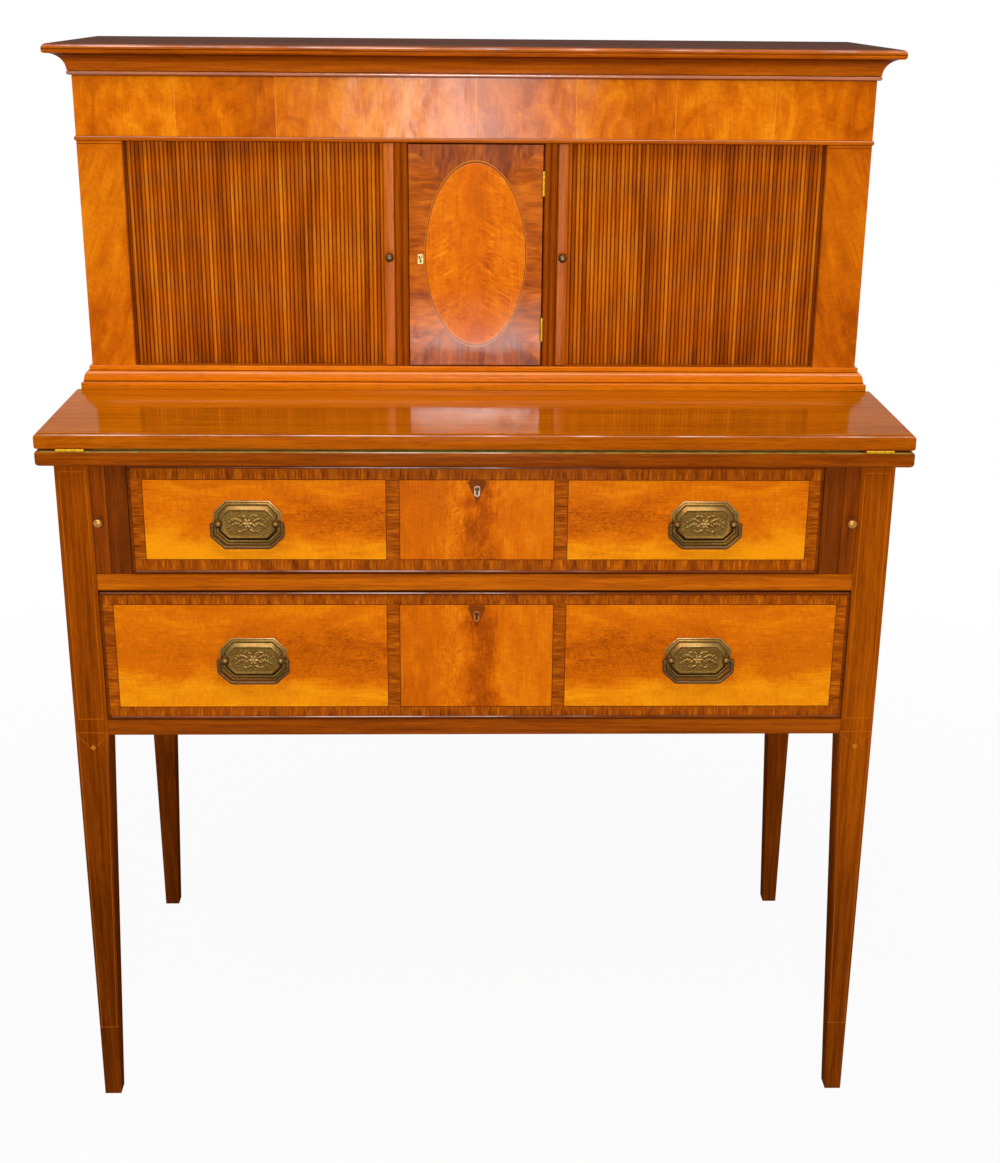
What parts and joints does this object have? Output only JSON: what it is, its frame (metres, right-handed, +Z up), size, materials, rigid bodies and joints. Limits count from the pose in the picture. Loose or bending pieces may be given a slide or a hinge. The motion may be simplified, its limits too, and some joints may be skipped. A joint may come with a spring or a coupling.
{
  "type": "escritoire",
  "caption": "Tambour writing desk on tapered legs: folding flap on pull-out lopers, long drawers with swinging bails, and an upper case with sliding tambour curtains beside a hinged door.",
  "frame": {"origin": "on the floor under the middle of the desk's outline, so the box's bottom centre", "axes": "+Z up; +X to the right of someone who sits at the desk; -Y towards that person, the front"},
  "size_m": [0.926, 0.476, 1.19],
  "materials": {
    "mahogany": "waxed, straight-grained",
    "birch_veneer": "polished veneer, flame figure, crossbanded",
    "tambour": "waxed reeds on canvas",
    "pine": "planed, unfinished",
    "brass": "aged, embossed",
    "baize": "napped cloth"
  },
  "bodies": {
    "desk": {"base_moulding": "mahogany", "bed_lining": "baize", "bottom_rail": "mahogany", "case_back": "pine", "case_sides": "mahogany", "cornice_board": "mahogany", "cornice_cove": "mahogany", "curtain_left": "tambour", "curtain_right": "tambour", "door_hinge_fixed": "brass", "door_partitions": "mahogany", "drawer_runners": "pine", "flap_hinge_fixed": "brass", "frieze": "birch_veneer", "head_board": "pine", "leg_back_left": "mahogany", "leg_back_right": "mahogany", "leg_front_left": "mahogany", "leg_front_right": "mahogany", "loper_partitions": "mahogany", "middle_rail": "mahogany", "pigeonholes": "pine", "plinth_rail": "mahogany", "stiles": "birch_veneer", "upper_back": "pine", "upper_floor": "pine", "upper_sides": "mahogany", "writing_bed": "mahogany"},
    "flap": {"flap": "mahogany", "flap_lining": "baize", "flap_hinge_moving": "brass"},
    "left_loper": {"loper_left": "mahogany", "loper_knob_left": "brass"},
    "right_loper": {"loper_right": "mahogany", "loper_knob_right": "brass"},
    "left_tambour": {"lead_strip_left": "mahogany", "curtain_knob_left": "brass"},
    "right_tambour": {"lead_strip_right": "mahogany", "curtain_knob_right": "brass"},
    "door": {"door": "mahogany", "door_lock": "brass", "door_hinge_moving": "brass"},
    "upper_drawer": {"upper_drawer_front": "birch_veneer", "upper_drawer_cock_bead": "mahogany", "upper_drawer_sides": "pine", "upper_drawer_back": "pine", "upper_drawer_bottom": "pine", "upper_drawer_pulls": "brass", "upper_drawer_lock": "brass"},
    "upper_left_bail": {"upper_left_bail": "brass"},
    "upper_right_bail": {"upper_right_bail": "brass"},
    "lower_drawer": {"lower_drawer_front": "birch_veneer", "lower_drawer_cock_bead": "mahogany", "lower_drawer_sides": "pine", "lower_drawer_back": "pine", "lower_drawer_bottom": "pine", "lower_drawer_pulls": "brass", "lower_drawer_lock": "brass"},
    "lower_left_bail": {"lower_left_bail": "brass"},
    "lower_right_bail": {"lower_right_bail": "brass"}
  },
  "joints": [
    {"name": "upper_drawer_slide", "type": "slide", "parent": "desk", "child": "upper_drawer", "axis": [0, -1, 0], "range_m": [0, 0.3]},
    {"name": "lower_drawer_slide", "type": "slide", "parent": "desk", "child": "lower_drawer", "axis": [0, -1, 0], "range_m": [0, 0.3]},
    {"name": "left_loper_slide", "type": "slide", "parent": "desk", "child": "left_loper", "axis": [0, -1, 0], "range_m": [0, 0.185]},
    {"name": "right_loper_slide", "type": "slide", "parent": "desk", "child": "right_loper", "axis": [0, -1, 0], "range_m": [0, 0.185]},
    {"name": "flap_hinge", "type": "hinge", "parent": "desk", "child": "flap", "pos_m": [0, -0.2345, 0.7963], "axis": [1, 0, 0], "range_deg": [0, 180]},
    {"name": "door_hinge", "type": "hinge", "parent": "desk", "child": "door", "pos_m": [0.0749, -0.0192, 0.9635], "axis": [0, 0, 1], "range_deg": [0, 110]},
    {"name": "left_tambour_slide", "type": "slide", "parent": "desk", "child": "left_tambour", "axis": [-1, 0, 0], "range_m": [0, 0.284], "deforming": ["curtain_left"]},
    {"name": "right_tambour_slide", "type": "slide", "parent": "desk", "child": "right_tambour", "axis": [1, 0, 0], "range_m": [0, 0.284], "deforming": ["curtain_right"]},
    {"name": "upper_left_bail_hinge", "type": "hinge", "parent": "upper_drawer", "child": "upper_left_bail", "pos_m": [-0.242, -0.2292, 0.71475], "axis": [-1, 0, 0], "range_deg": [0, 90]},
    {"name": "upper_right_bail_hinge", "type": "hinge", "parent": "upper_drawer", "child": "upper_right_bail", "pos_m": [0.242, -0.2292, 0.71475], "axis": [-1, 0, 0], "range_deg": [0, 90]},
    {"name": "lower_left_bail_hinge", "type": "hinge", "parent": "lower_drawer", "child": "lower_left_bail", "pos_m": [-0.242, -0.2292, 0.55975], "axis": [-1, 0, 0], "range_deg": [0, 90]},
    {"name": "lower_right_bail_hinge", "type": "hinge", "parent": "lower_drawer", "child": "lower_right_bail", "pos_m": [0.242, -0.2292, 0.55975], "axis": [-1, 0, 0], "range_deg": [0, 90]}
  ]
}
